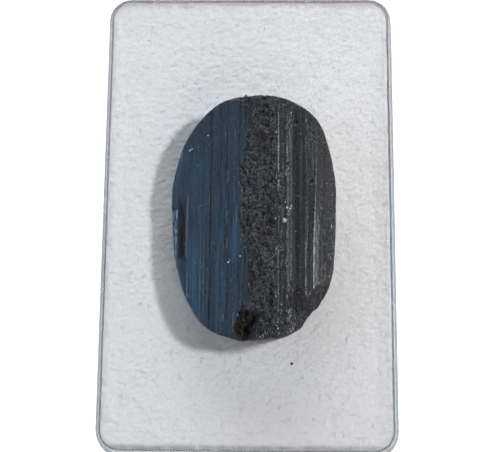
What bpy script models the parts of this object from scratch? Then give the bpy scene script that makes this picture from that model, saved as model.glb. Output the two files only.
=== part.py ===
"""A tourmaline specimen: an oval slice of a black tourmaline crystal on a foam pad in a clear tray.

The crystal is one solid. It is built the way the stone was made: a prism grows along Y with ribs
and flutings on its upper faces, an oval outline is sawn out of it, and the broken corners are
knocked off. It lies on a white foam pad, which fills a clear moulded plastic tray.
Blender 4.5, metres, +Z up. The origin is under the middle of the tray, on the table.
"""

import math

import bmesh
import bpy
from mathutils import Matrix, Vector, noise

MM = 0.001
GAP = 0.3 * MM  # between pieces that touch

# Tray: overall size at the shoulder that a lid would rest on.
TRAY_WIDTH = 41.0 * MM
TRAY_LENGTH = 64.9 * MM
TRAY_HEIGHT = 12.0 * MM
TRAY_CORNER = 3.6 * MM
SHOULDER_Z = 9.0 * MM
LIP_INSET = 0.45 * MM
LIP_WALL = 0.5 * MM
TRAY_FLOOR = 0.8 * MM

# Foam pad.
PAD_WIDTH = 38.3 * MM
PAD_LENGTH = 62.3 * MM
PAD_TOP_Z = 11.2 * MM
PAD_CORNER = 2.5 * MM
PAD_SHIFT_X = -0.1 * MM

# Crystal: the sawn oval, seen from above, in millimetres, anticlockwise from the right side.
OVAL = [
    (11.7, -1.5),
    (11.5, 4.6),
    (9.95, 10.35),
    (7.1, 13.3),
    (3.2, 14.8),
    (-1.8, 14.8),
    (-5.15, 13.35),
    (-8.35, 9.35),
    (-10.05, 3.45),
    (-10.05, -2.4),
    (-9.35, -8.0),
    (-7.7, -12.7),
    (-5.1, -16.1),
    (-1.4, -17.55),
    (3.5, -17.5),
    (6.7, -16.1),
    (9.6, -12.8),
    (11.3, -7.7),
]
OVAL_STEPS = 6  # between two of its points
CRYSTAL_BASE_Z = PAD_TOP_Z + GAP

# The prism's upper outline, from left to right. Each row is one face that runs the length of the
# prism: the x where it ends, and how steeply it rises to the right, in degrees.
# They climb one long side to a rough crest, then fall over ribs and flutings on the right.
PRISM_START = (-12.5, 3.6)  # x, and height over the crystal's base
PRISM_FACES = [
    (-10.2, 33),  # left flank
    (-9.65, 29),
    (-9.2, 37),
    (-8.05, 4),  # tread beside the flank
    (-7.6, 35),  # step up to the long left side
    (-4.9, 18),
    (-4.75, -11),
    (-3.6, 18),
    (-3.35, 8),
    (-2.85, 19),
    (-2.45, 10),
    (-1.85, 15),
    (-1.15, 24),
    (-0.3, 12),
    (1.6, 7.5),  # rough crest
    (3.8, 5),
    (3.95, 24),  # sharp rib
    (4.2, -12),
    (5.1, 0),
    (6.1, -6),  # broad fluting
    (6.75, 8),
    (7.15, -5),
    (7.45, 12),  # thin rib
    (7.95, -6),
    (8.2, 7),
    (8.55, -4),
    (9.3, -25),  # ridge
    (10.7, -32),  # right flank
    (10.95, -28),
    (13.5, -36),
]
ROUGH_BAND = (-0.5, 3.7)  # millimetres across, where the crest is granular
ROUGH_LUMP = 0.17  # millimetres

FOOT_CHAMFER = 0.35 * MM

# What broke off the crystal: name, centre over its base and size along the chip's own axes in
# millimetres, turn about Z and tilt about X in degrees, fineness of the broken face, seed.
CHIPS = [
    ("chip_bottom_end", (-0.1, -18.2, 9.9), (4.4, 9.4, 8.0), 6, 0, 3, 1.0),
    ("chip_bottom_facets", (3.0, -19.4, 10.2), (5.0, 8.0, 6.6), -8, 0, 2, 3.0),
    ("chip_lower_right", (11.7, -15.1, 13.0), (12.7, 12.7, 12.7), 52, 0, 3, 5.0),
    ("chip_right_edge", (12.1, -6.1, 5.8), (1.7, 1.3, 3.8), 0, 0, 2, 9.0),
    ("pit_upper", (6.3, 11.6, 8.75), (0.9, 1.1, 1.0), 0, 0, 2, 2.0),
    ("pit_right", (8.4, 3.9, 8.7), (0.7, 1.1, 0.9), 0, 0, 2, 4.0),
]
CHIP_ROUGHNESS = 0.16

# The mesh of the prism: distance between its columns and between its rows.
COLUMN_STEP = 0.34 * MM
ROW_STEP = 0.95 * MM
# The prism as it grew reaches past the oval, from this y to that.
PRISM_ENDS = (-19.0 * MM, 16.5 * MM)


def clear_scene():
    for obj in list(bpy.data.objects):
        bpy.data.objects.remove(obj, do_unlink=True)


def material(name, colour, roughness, transmission=0.0, ior=1.5):
    made = bpy.data.materials.new(name)
    made.use_nodes = True
    shader = made.node_tree.nodes["Principled BSDF"]
    shader.inputs["Base Color"].default_value = (*colour, 1.0)
    shader.inputs["Roughness"].default_value = roughness
    shader.inputs["Metallic"].default_value = 0.0
    shader.inputs["Transmission Weight"].default_value = transmission
    shader.inputs["IOR"].default_value = ior
    return made


def add_object(name, bm, finish=None):
    bmesh.ops.recalc_face_normals(bm, faces=bm.faces)
    mesh = bpy.data.meshes.new(name)
    bm.to_mesh(mesh)
    bm.free()
    obj = bpy.data.objects.new(name, mesh)
    bpy.context.scene.collection.objects.link(obj)
    if finish:
        mesh.materials.append(finish)
    return obj


def rounded_rectangle(width, length, radius, z, corner_steps=7):
    """Points round a rectangle with round corners, anticlockwise from the right side."""
    points = []
    for quarter in range(4):
        sign_x = 1 if quarter in (0, 3) else -1
        sign_y = 1 if quarter in (0, 1) else -1
        centre = Vector((sign_x * (width / 2 - radius), sign_y * (length / 2 - radius), z))
        for step in range(corner_steps + 1):
            angle = math.radians(90 * (quarter + step / corner_steps))
            points.append(centre + radius * Vector((math.cos(angle), math.sin(angle), 0)))
    return points


def loft(name, loops, finish):
    """A closed body through loops of equally many points, with a flat face at each end."""
    bm = bmesh.new()
    rings = [[bm.verts.new(point) for point in loop] for loop in loops]
    for lower, upper in zip(rings, rings[1:]):
        for index in range(len(lower)):
            after = (index + 1) % len(lower)
            bm.faces.new((lower[index], lower[after], upper[after], upper[index]))
    bm.faces.new(list(reversed(rings[0])))
    bm.faces.new(rings[-1])
    return add_object(name, bm, finish)


def shade(obj, angle_deg):
    obj.data.shade_smooth()
    obj.data.set_sharp_from_angle(angle=math.radians(angle_deg))


def build_tray(finish):
    """The section runs up the outside, over the lip and down the inside: inset, height."""
    lip_in = LIP_INSET + LIP_WALL
    section = [
        (0.95 * MM, 0.0),
        (0.5 * MM, 0.12 * MM),
        (0.3 * MM, 0.5 * MM),
        (0.0, SHOULDER_Z - 0.35 * MM),
        (0.05 * MM, SHOULDER_Z - 0.1 * MM),
        (0.15 * MM, SHOULDER_Z),
        (LIP_INSET, SHOULDER_Z),
        (LIP_INSET, TRAY_HEIGHT - 0.15 * MM),
        (LIP_INSET + 0.12 * MM, TRAY_HEIGHT),
        (lip_in - 0.12 * MM, TRAY_HEIGHT),
        (lip_in, TRAY_HEIGHT - 0.15 * MM),
        (lip_in + 0.05 * MM, SHOULDER_Z),
        (lip_in + 0.3 * MM, TRAY_FLOOR + 0.5 * MM),
        (lip_in + 0.45 * MM, TRAY_FLOOR + 0.15 * MM),
        (lip_in + 0.9 * MM, TRAY_FLOOR),
    ]
    loops = [
        rounded_rectangle(TRAY_WIDTH - 2 * inset, TRAY_LENGTH - 2 * inset, TRAY_CORNER - inset, z)
        for inset, z in section
    ]
    tray = loft("tray", loops, finish)
    shade(tray, 40)
    return tray


def build_pad(finish):
    """A foam block with softly rounded edges, a little narrower at its foot than at its top."""
    bottom_z = TRAY_FLOOR + GAP
    section = [
        (0.9 * MM, bottom_z),
        (0.45 * MM, bottom_z + 0.45 * MM),
        (0.0, PAD_TOP_Z - 1.0 * MM),
        (0.05 * MM, PAD_TOP_Z - 0.45 * MM),
        (0.25 * MM, PAD_TOP_Z - 0.12 * MM),
        (0.6 * MM, PAD_TOP_Z),
    ]
    loops = [
        rounded_rectangle(PAD_WIDTH - 2 * inset, PAD_LENGTH - 2 * inset, PAD_CORNER - inset, z)
        for inset, z in section
    ]
    pad = loft("pad", loops, finish)
    pad.location.x = PAD_SHIFT_X
    shade(pad, 40)
    return pad


def profile_height(x_mm):
    """Height over the base: the rises of all the faces from the left up to that x."""
    start, height = PRISM_START
    for end, slope_deg in PRISM_FACES:
        height += max(0.0, min(x_mm, end) - start) * math.tan(math.radians(slope_deg))
        start = end
    return height


def band_share(x_mm, y_mm):
    """1 inside the rough band and 0 outside it; its left edge wanders along the crystal."""
    left, right = ROUGH_BAND
    left += 0.8 * noise.noise(Vector((0.0, y_mm * 0.16, 4.0)))
    return min(1.0, max(0.0, (x_mm - left) / 0.5)) * min(1.0, max(0.0, (right - x_mm) / 0.4))


def top_height(x, y):
    """Height of the prism's natural surface over the crystal's base."""
    x_mm, y_mm = x / MM, y / MM
    waver = 0.09 * noise.noise(Vector((x_mm * 0.35, y_mm * 0.11, 0.0)))
    rib = 0.05 * noise.noise(Vector((x_mm * 1.9, y_mm * 0.09, 7.0)))
    lump = ROUGH_LUMP * band_share(x_mm, y_mm) * noise.noise(Vector((x_mm * 1.6, y_mm * 0.9, 2.0)))
    return (profile_height(x_mm) + waver + rib + lump) * MM


def prism_columns():
    """x of each column: an even spacing, with one column on each edge between two faces."""
    corners = [PRISM_START[0] * MM] + [x * MM for x, _ in PRISM_FACES]
    first, last = corners[0], corners[-1]
    count = round((last - first) / COLUMN_STEP)
    even = [first + (last - first) * index / count for index in range(count + 1)]
    clear = [x for x in even if min(abs(x - corner) for corner in corners) > COLUMN_STEP / 2]
    return sorted(corners + clear)


def build_prism(finish):
    """The crystal as it grew, before the oval was sawn out of it: one row of points per step along Y."""
    columns = prism_columns()
    start, end = PRISM_ENDS
    count = round((end - start) / ROW_STEP)
    bm = bmesh.new()
    rings = []
    for row in range(count + 1):
        y = start + (end - start) * row / count
        upper = [bm.verts.new((x, y, CRYSTAL_BASE_Z + top_height(x, y))) for x in columns]
        lower = [bm.verts.new((x, y, CRYSTAL_BASE_Z)) for x in (columns[-1], columns[0])]
        rings.append(upper + lower)
    for nearer, farther in zip(rings, rings[1:]):
        for index in range(len(nearer)):
            after = (index + 1) % len(nearer)
            bm.faces.new((nearer[index], nearer[after], farther[after], farther[index]))
    bm.faces.new(rings[0])
    bm.faces.new(list(reversed(rings[-1])))
    bmesh.ops.triangulate(bm, faces=bm.faces)
    return add_object("crystal", bm, finish)


def oval_outline():
    """The sawn outline: a smooth closed curve (Catmull-Rom) through the points of OVAL."""
    points = [Vector(point) * MM for point in OVAL]
    outline = []
    for index, start in enumerate(points):
        before, end = points[index - 1], points[(index + 1) % len(points)]
        after = points[(index + 2) % len(points)]
        for step in range(OVAL_STEPS):
            t = step / OVAL_STEPS
            bend = 2 * before - 5 * start + 4 * end - after
            twist = 3 * start - before - 3 * end + after
            outline.append(start + 0.5 * ((end - before) * t + bend * t**2 + twist * t**3))
    return outline


def helper(obj):
    obj.hide_render = True
    obj.display_type = "WIRE"
    return obj


def build_oval_cutter():
    """The sawn column, with a small chamfer round its foot. It reaches well over the prism."""
    outline = oval_outline()
    centre = sum(outline, Vector((0, 0))) / len(outline)
    foot_scale = 1 - FOOT_CHAMFER / (outline[0] - centre).length
    foot_z = CRYSTAL_BASE_Z
    loops = []
    for scale, z in [(foot_scale, foot_z), (1.0, foot_z + FOOT_CHAMFER), (1.0, foot_z + 12 * MM)]:
        loops.append([(*(centre + (point - centre) * scale), z) for point in outline])
    return helper(loft("oval_cutter", loops, None))


def build_chip_cutter(name, centre, size, turn_deg, tilt_deg, detail, seed):
    """A lump with a rough face that knocks a corner off: a displaced ball, stretched and turned."""
    bm = bmesh.new()
    bmesh.ops.create_icosphere(bm, subdivisions=detail, radius=0.5)
    for vert in bm.verts:
        vert.co *= 1 + CHIP_ROUGHNESS * noise.noise(vert.co * 3.1 + Vector((seed, 0, 0)))
    turn = Matrix.Rotation(math.radians(turn_deg), 4, "Z") @ Matrix.Rotation(math.radians(tilt_deg), 4, "X")
    stretch = Matrix.Diagonal((*(Vector(size) * MM), 1.0))
    place = Matrix.Translation(Vector(centre) * MM + Vector((0, 0, CRYSTAL_BASE_Z)))
    bmesh.ops.transform(bm, matrix=place @ turn @ stretch, verts=bm.verts)
    return helper(add_object(name, bm))


def apply_boolean(obj, cutter, operation):
    modifier = obj.modifiers.new(cutter.name, "BOOLEAN")
    modifier.object = cutter
    modifier.operation = operation
    modifier.solver = "EXACT"


def build_crystal(finish):
    crystal = build_prism(finish)
    apply_boolean(crystal, build_oval_cutter(), "INTERSECT")
    for name, centre, size, turn, tilt, detail, seed in CHIPS:
        cutter = build_chip_cutter(name, centre, size, turn, tilt, detail, seed)
        apply_boolean(crystal, cutter, "DIFFERENCE")
    return crystal


def main():
    clear_scene()
    build_tray(material("clear_plastic", (0.95, 0.97, 0.98), 0.05, transmission=1.0, ior=1.59))
    build_pad(material("foam", (0.78, 0.79, 0.81), 0.95))
    build_crystal(material("tourmaline", (0.03, 0.036, 0.045), 0.35, ior=1.63))


main()
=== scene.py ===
"""Looks of the tourmaline specimen: the striated black crystal, its foam pad and its clear tray.

Blender 4.5. Lengths in the tables below are in millimetres, because the crystal's features are
fractions of one.
"""

import math

import bmesh
import bpy
import numpy as np
from mathutils import Matrix, Vector
from mathutils.bvhtree import BVHTree


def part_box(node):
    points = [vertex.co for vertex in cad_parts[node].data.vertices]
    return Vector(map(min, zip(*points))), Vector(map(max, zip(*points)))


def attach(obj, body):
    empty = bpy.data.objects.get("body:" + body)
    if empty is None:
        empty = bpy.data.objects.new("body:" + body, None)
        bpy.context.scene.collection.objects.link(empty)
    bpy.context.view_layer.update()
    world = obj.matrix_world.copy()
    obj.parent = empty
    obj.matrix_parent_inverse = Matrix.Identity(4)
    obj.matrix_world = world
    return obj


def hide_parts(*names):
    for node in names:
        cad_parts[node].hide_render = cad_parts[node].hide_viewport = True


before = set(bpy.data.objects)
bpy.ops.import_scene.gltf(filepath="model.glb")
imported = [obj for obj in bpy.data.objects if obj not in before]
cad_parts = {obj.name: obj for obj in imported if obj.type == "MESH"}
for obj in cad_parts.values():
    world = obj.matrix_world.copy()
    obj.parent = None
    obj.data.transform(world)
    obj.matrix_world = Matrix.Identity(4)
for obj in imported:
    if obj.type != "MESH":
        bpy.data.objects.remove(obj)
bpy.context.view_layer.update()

MM = 0.001

# -------------------- the crystal's measures

BASE_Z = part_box("crystal")[0].z / MM
FOOT_CHAMFER = 0.35

# The upper outline across the crystal, from left to right. Each row is one narrow face that runs
# the length of the crystal: the x where it ends, and how steeply it rises to the right, in
# degrees, at the far end (+Y) and at the near end (-Y).
PROFILE_START = (-12.5, 4.15)  # x, and height over the base
PROFILE = [
    (-10.2, 24, 24),  # left flank
    (-9.65, 20, 22),
    (-9.2, 24, 24),
    (-8.05, 14, 14),
    (-7.6, 20, 22),  # the long left face
    (-7.2, 14, 14),
    (-7.05, 22, 30),
    (-6.2, 16, 17),
    (-6.05, 20, 33),
    (-5.75, 17, 17),
    (-5.6, 20, 31),
    (-4.9, 17, 17),
    (-4.8, -8, -14),
    (-3.6, 19, 19),
    (-3.4, 10, 6),
    (-2.85, 20, 20),
    (-2.45, 15, 14),
    (-1.85, 17, 17),
    (-1.15, 23, 25),
    (-0.7, 11, 8),
    (-0.3, 15, 14),
    (0.6, 14, 12),
    (1.6, 7, 7),  # rough crest
    (3.85, 7, 8),
    (3.95, 25, 20),  # sharp rib
    (4.2, -15, -6),
    (4.4, 6, 8),
    (4.75, -1, -1),
    (5.1, 8, 9),
    (5.45, -9, -7),  # broad fluting
    (5.85, -7, -5),
    (6.2, 1, 2),
    (6.5, 8, 9),
    (6.85, 14, 16),
    (7.05, -2, 0),
    (7.2, 3, 4),
    (7.45, 13, 12),  # thin rib
    (7.6, -9, -9),
    (7.85, -4, -4),
    (8.0, 5, 6),
    (8.6, 0, 1),
    (9.3, -38, -25),  # bright ridge
    (10.7, -36, -36),  # right flank
    (13.5, -38, -38),
]
PROFILE_TURN = (-5.0, 7.0)  # the near slopes turn into the far ones between these y
# The left edge of the granular crest: y, and x there. Its right edge is at one x.
CREST_LEFT = [
    (-13.6, -0.8),
    (-12.3, -0.1),
    (-10.0, 0.8),
    (-7.6, 0.4),
    (-5.8, -0.25),
    (-3.2, -0.7),
    (3.5, -0.8),
    (8.4, -0.4),
    (10.4, 0.5),
    (14.0, 0.8),
]
CREST_RIGHT = 3.65
# Granular patches outside the crest: centre, half size, and how dense they are.
PITTED = [
    ((-3.0, 4.2), (1.1, 1.6), 1.0),
    ((-2.9, -1.2), (0.8, 2.8), 1.0),
    ((-5.6, 10.3), (1.6, 1.2), 0.9),
    ((6.2, -13.0), (2.2, 4.2), 1.25),
    ((4.4, 0.8), (0.6, 5.5), 1.4),
    ((4.6, -7.0), (0.8, 5.0), 1.3),
    ((4.75, 6.5), (0.6, 4.5), 1.3),
    ((5.0, 13.6), (2.6, 2.2), 1.2),
    ((8.4, 9.8), (1.6, 2.8), 1.2),
    ((4.9, -14.6), (1.5, 3.4), 1.4),
    ((10.6, -4.0), (1.2, 7.0), 0.9),
]
# Thin pale streaks along the left face: centre, half size.
PALE = [
    ((-2.62, 4.2), (0.2, 2.2)),
    ((-2.66, -1.5), (0.17, 1.8)),
    ((-2.6, -5.0), (0.17, 1.5)),
    ((-8.9, 7.4), (0.25, 1.6)),
    ((-3.0, -14.5), (0.13, 1.2)),
    ((-5.0, 0.6), (0.1, 2.2)),
]
# Where the blue window's reflection is painted brightest on the left face: centre, half size.
BLUE_GLARE_PATCHES = [
    ((-7.0, -8.5), (1.1, 6.5)),
    ((-1.7, -4.0), (0.45, 4.0)),
    ((-8.7, -10.0), (0.5, 2.0)),
]
# Dark brown places: centre, half size.
STAINS = [
    ((3.1, -1.8), (0.8, 3.8)),
    ((0.8, -9.6), (0.9, 1.6)),
    ((2.0, 8.6), (1.3, 2.2)),
    ((6.5, -12.4), (1.6, 1.9)),
    ((6.55, -1.0), (0.42, 13.0)),
]

# Two facets let into the left flank. Each is cut by flat walls, as the broken corners below.
GLOSSY_FACET = [
    (-9.25, 0.2, -9.25, -6.7, 0.33),
    (-10.6, 0.7, -9.25, -0.1, 0.5),
    (-9.25, -6.7, -10.6, -6.9, 2),
]
BROWN_FACET = [
    (-9.3, -7.0, -9.3, 3.0, 0.2),
    (-7.95, 3.0, -7.95, -7.0, 1.0),
    (-9.3, 2.2, -7.95, 2.2, 0.06),
    (-7.95, -7.0, -9.3, -7.0, 0.25),
]

# Broken corners. Each is cut by flat walls: the two ends of a wall's upper edge, with the chip on
# the right of the line from one to the other, and the wall's slope.
END_HOLLOW = [
    (-2.2, -17.4, -0.75, -13.8, 1.5),
    (-0.75, -13.8, 2.1, -14.0, 1.1),
    (2.1, -13.6, 1.3, -17.8, 1.2),
]
END_FACET = [
    (1.3, -18.0, 1.3, -15.0, 0.7),
    (1.3, -15.2, 4.0, -16.2, 0.45),
    (4.2, -15.9, 4.6, -18, 0.5),
]
LOWER_RIGHT = [
    (5.9, -17.0, 6.6, -13.6, 0.9),
    (6.6, -13.6, 9.05, -10.7, 0.75),
    (9.05, -10.7, 12.0, -10.3, 1.6),
]
# Walls, depth, how rugged the break is, and its finish. A shiny one has the look of the faces.
CHIPS = [
    (END_HOLLOW, 2.6, 1.0, "dull"),
    (END_FACET, 1.2, 0.8, "shiny"),
    (LOWER_RIGHT, 3.2, 0.4, "granular"),
]
# Pits: centre, half size, depth.
PITS = [
    ((6.3, 11.1), (0.34, 0.4), 0.35),
    ((8.4, 3.0), (0.26, 0.4), 0.3),
    ((5.2, 5.3), (0.16, 0.25), 0.18),
]

# Relief in layers of small flat faces: a face's size across and along, how much the faces tilt in
# those directions, the seed, and for some how unequal the tilts are.
STRIATIONS = [
    ((0.13, 3.2), (0.08, 0), 11),
    ((0.3, 7.0), (0.07, 0), 12),
    ((0.8, 14.0), (0.05, 0), 20),
]
SHORT_STEPS = ((0.24, 0.7), (0.05, 0.03), 13)
GRAINS = [
    ((0.42, 0.34), (0.13, 0.15), 16, 1.7),
    ((0.2, 0.17), (0.08, 0.1), 17, 2.2),
]
LUMPS = ((0.8, 1.3), (0.16, 0.1), 26, 1.3)
BREAKS = [
    ((0.7, 0.9), (0.3, 0.3), 33),
    ((0.25, 0.3), (0.2, 0.2), 34),
]
GLOSSY_STEPS = ((0.2, 1.7), (0.28, 0.06), 27)

# The crystal's mesh: columns of points along Y, closer where its ribs are fine.
COLUMN_STEP = 0.1
RIB_STEP = 0.06
RIB_SPAN = (-0.9, 9.4)
END_STEP = 0.2  # along the outline, where it runs parallel to the columns
ROWS = 255
OUTLINE_STEP = 0.12
BEVEL = 0.16  # width of the worn bevel round the top
# Its rings of points: the share of the width, and how far they lie below the rim.
BEVEL_RINGS = [(0.5, 0.04), (0.85, 0.12), (1.0, 0.26)]
BEVEL_BROKEN = 0.7  # how much of the wall's broken look its lowest ring has
WALL_ROWS = 11
WALL_LEAN = (0.35, 0.75)  # how far the foot stands in, at the far end and at the near end

# -------------------- loose bits

# Pale flakes of mineral on the crystal: x, y, size.
FLAKES = [
    (-7.77, 7.96, 0.16),
    (-7.5, 8.15, 0.09),
    (-5.34, 9.84, 0.12),
    (-2.42, -7.55, 0.14),
    (-2.2, -7.35, 0.08),
    (-0.86, -6.84, 0.11),
    (4.08, -16.3, 0.11),
    (3.98, -15.95, 0.07),
    (4.21, -16.9, 0.1),
    (4.1, -17.1, 0.07),
    (4.05, -15.5, 0.06),
    (4.9, -2.2, 0.32),
    (5.2, -0.55, 0.16),
    (5.61, -0.72, 0.2),
    (5.45, -1.05, 0.12),
    (5.75, -0.3, 0.12),
    (5.0, 0.2, 0.1),
    (10.4, 2.9, 0.12),
]
DARK_CRUMBS = [
    (-0.3, 14.75, 0.3),
    (-0.75, 14.55, 0.2),
    (0.3, 14.7, 0.16),
    (1.9, 14.7, 0.14),
    (-2.1, 14.4, 0.14),
]
PAD_CRUMBS = [(5.96, -19.96, 0.22), (2.1, 27.7, 0.07), (11.9, 21.9, 0.07)]
# Threads: radius, then x, y and lift of the points each passes.
LINT = [
    (0.035, [(2.38, -7.67, 0.05), (3.2, -7.2, 0.3), (4.0, -6.5, 0.2), (4.7, -6.08, 0.05)]),
    (0.035, [(5.35, -10.2, 0.05), (5.6, -11.1, 0.25), (5.3, -11.6, 0.25), (5.0, -11.1, 0.05)]),
    (0.03, [(0.87, 5.0, 0.02), (0.7, 4.5, 0.2), (0.62, 3.92, 0.02)]),
    (0.03, [(-6.66, -0.36, 0.02), (-6.1, 0.35, 0.2), (-5.9, 0.1, 0.1), (-5.19, 0.63, 0.02)]),
    (0.035, [(-2.4, 14.1, 0.02), (-1.6, 14.45, 0.3), (-0.8, 14.1, 0.25), (-0.1, 14.4, 0.05)]),
    (0.03, [(-1.3, 13.9, 0.02), (-0.7, 13.5, 0.2), (0.2, 13.7, 0.02)]),
    (0.03, [(4.9, 9.9, 0.02), (5.3, 10.8, 0.25), (5.8, 11.4, 0.02)]),
]

# -------------------- the foam's measures

PAD_TOP_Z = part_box("pad")[1].z / MM
FOAM_STEP = 0.18
FOAM_END_STEP = 1.0  # along its straight sides, which run parallel to the columns
FOAM_SPREAD = 0.35  # it fills the tray, past its plain solid by this much on each side
FOAM_CORNER = 2.6
FOAM_RISE = 0.22  # its nap stands over the plain solid
FOAM_ROWS = 10
FOAM_EDGE_RISE = 0.3  # how far it rises along the tray's far wall and side walls
FOAM_EDGE_DROP = 0.08  # how far its edge rounds down
FOAM_NEAR_DROP = 0.45  # and how far its near end does
FOAM_TUCK = 0.072  # how far its side draws in
FOAM_GAP = 0.02  # between it and the crystal that presses it in
FIBRES = 4200
FIBRE_LENGTH = (0.35, 1.1)
FIBRE_LIFT = (0.02, 0.12)  # how far a fibre's middle stands over its ends
FIBRE_RADIUS = (0.014, 0.03)
FIBRE_SINK = 0.02  # how deep its ends lie in the nap
FIBRE_EDGE_BAND = (0.15, 0.7)  # every fourth fibre is this near to an edge
FIBRE_CLEARANCE = 0.06  # from the foam's edge

# -------------------- light and camera

# Area lights: name, azimuth from +X towards +Y, elevation, distance and size in metres, radiance,
# colour.
LIGHTS = [
    ("key", 7, 57, 0.6, (0.06, 0.06), 186, (0.97, 1.0, 1.05)),
    ("soft_back", 93, 27, 0.36, (0.26, 0.2), 5.0, (1.03, 1.0, 0.95)),
    ("front", 290, 35, 0.8, (0.5, 0.4), 2.2, (1.13, 1.0, 0.86)),
    ("window", 170, 50, 0.6, (0.35, 0.3), 0.75, (0.6, 0.95, 1.35)),
    ("low_window", 174, 14, 0.6, (0.35, 0.14), 4.2, (0.42, 0.77, 1.25)),
]
# The sky's brightness low down and high up, and the z of the directions where it changes.
SKY_BRIGHTNESS = (0.35, 0.08)
SKY_HEIGHTS = (0.1, 0.75)
FLOOR_RADIUS = 2.5

# The camera: place in millimetres, turns in degrees, lens and sensor width in millimetres.
CAMERA_PLACE = (3.242, -32.560, 161.265)
CAMERA_TILT = 11.853
CAMERA_PAN = 1.124
CAMERA_ROLL = -0.224
CAMERA_LENS = 80
CAMERA_SENSOR = 36

# -------------------- helpers


def noise(u, v, seed):
    """Smooth noise from -1 to 1, with one lattice cell per unit of u and of v."""
    size = 256
    table = np.random.default_rng(seed).uniform(-1, 1, (size, size))
    column, row = np.floor(u).astype(int), np.floor(v).astype(int)
    s, t = u - column, v - row
    s, t = s * s * (3 - 2 * s), t * t * (3 - 2 * t)
    left, right, lower, upper = (cell % size for cell in (column, column + 1, row, row + 1))
    near = table[left, lower] * (1 - s) + table[right, lower] * s
    far = table[left, upper] * (1 - s) + table[right, upper] * s
    return near * (1 - t) + far * t


def grain(u, v, seed, octaves=3):
    """Noise with finer and finer noise on it."""
    total = sum(noise(u * 2**k, v * 2**k, seed + k) / 2**k for k in range(octaves))
    return total / (2 - 2 ** (1 - octaves))


def facets(x, y, cell, slope, seed, spread=1):
    """Relief of small flat faces side by side, each tilted its own way.

    cell is a face's size across and along, and slope how much the faces tilt in those directions.
    A spread over 1 makes most of them nearly level and a few steep.
    """
    rng = np.random.default_rng(seed)
    count = 128
    centre = rng.uniform(0.1, 0.9, (count, count, 2))
    tilt = rng.normal(0, 1, (count, count, 2))
    tilt = np.sign(tilt) * np.abs(tilt) ** spread * slope
    u, v = x / cell[0], y / cell[1]
    column, row = np.floor(u).astype(int), np.floor(v).astype(int)
    nearest, height = np.full(x.shape, np.inf), np.zeros(x.shape)
    for i in (-1, 0, 1):
        for j in (-1, 0, 1):
            key = ((column + i) % count, (row + j) % count)
            du, dv = u - column - i - centre[key][..., 0], v - row - j - centre[key][..., 1]
            distance = du * du + dv * dv
            face = tilt[key][..., 0] * du * cell[0] + tilt[key][..., 1] * dv * cell[1]
            height = np.where(distance < nearest, face, height)
            nearest = np.minimum(distance, nearest)
    return height


def ramp(value, start, end):
    """0 before start and 1 past end, with a smooth slope between them."""
    share = np.clip((value - start) / (end - start), 0, 1)
    return share * share * (3 - 2 * share)


def mound(x, y, centre, half):
    """1 in the middle of an ellipse, 0 outside it."""
    distance = ((x - centre[0]) / half[0]) ** 2 + ((y - centre[1]) / half[1]) ** 2
    return np.clip(1 - distance, 0, 1)


def new_object(name, mesh):
    piece = bpy.data.objects.new(name, mesh)
    bpy.context.scene.collection.objects.link(piece)
    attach(piece, "root")
    return piece


# -------------------- outlines


def outline_of(node, height):
    """The outline of a CAD node at that height over its base: points anticlockwise."""
    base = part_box(node)[0].z / MM
    points = np.array([vert.co[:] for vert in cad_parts[node].data.vertices]) / MM
    at_height = np.abs(points[:, 2] - base - height) < 0.02
    ring = np.unique(points[at_height, :2].round(3), axis=0)
    middle = (ring.min(axis=0) + ring.max(axis=0)) / 2
    return ring[np.argsort(np.arctan2(*(ring - middle).T[::-1]))]


def resampled(loop, step):
    """The closed loop with its points an even step apart."""
    closed = np.vstack([loop, loop[:1]])
    along = np.concatenate([[0], np.cumsum(np.linalg.norm(np.diff(closed, axis=0), axis=1))])
    places = np.linspace(0, along[-1], round(along[-1] / step), endpoint=False)
    return np.column_stack([np.interp(places, along, closed[:, axis]) for axis in (0, 1)])


def outward_normals(loop, reach=2):
    """Unit normals of a closed anticlockwise loop in the plane."""
    along = np.roll(loop, -reach, axis=0) - np.roll(loop, reach, axis=0)
    normal = np.column_stack([along[:, 1], -along[:, 0]])
    return normal / np.maximum(np.linalg.norm(normal, axis=1, keepdims=True), 1e-9)


def way_round(loop):
    """How far along the loop each of its points is."""
    return np.cumsum(np.linalg.norm(loop - np.roll(loop, 1, axis=0), axis=1))


def outline_span(outline, x):
    """Lowest and highest y of a closed outline at each x."""
    left, right = np.argmin(outline[:, 0]), np.argmax(outline[:, 0])
    chain = np.roll(outline, -left, axis=0)
    turn = (right - left) % len(outline)
    lower = chain[: turn + 1]
    upper = np.vstack([chain[turn:], chain[:1]])[::-1]
    return np.interp(x, lower[:, 0], lower[:, 1]), np.interp(x, upper[:, 0], upper[:, 1])


def column_places(outline, step_at, end_step):
    """x of each column: a step apart, and closer where the outline turns parallel to them."""
    left, right = outline[:, 0].min(), outline[:, 0].max()
    half_width, half_length = (right - left) / 2, np.ptp(outline[:, 1]) / 2
    turn = end_step / half_length
    last_angle = math.asin(min(1, float(step_at(left)) / half_width / turn))
    ends = half_width * (1 - np.cos(np.arange(0, last_angle, turn)))
    fine = np.linspace(left + ends[-1], right - ends[-1], 4000)
    columns = np.cumsum((fine[1] - fine[0]) / step_at(fine))
    middle = np.interp(np.linspace(columns[0], columns[-1], round(columns[-1]) + 1), columns, fine)
    return np.concatenate([left + ends[:-1], middle, right - ends[:-1][::-1]])


# -------------------- grids with a skirt


def perimeter_of(columns, rows):
    """Indices (column, row) round the grid, anticlockwise seen from above."""
    lower = [(i, 0) for i in range(columns)]
    right = [(columns - 1, j) for j in range(1, rows)]
    upper = [(i, rows - 1) for i in range(columns - 2, -1, -1)]
    left = [(0, j) for j in range(rows - 2, 0, -1)]
    return np.array(lower + right + upper + left)


def edge_values(grid, loop):
    """The grid's values round its perimeter."""
    return grid[loop[:, 0], loop[:, 1]]


def edge_points(x, y, loop):
    return np.column_stack([edge_values(x, loop), edge_values(y, loop)])


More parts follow.
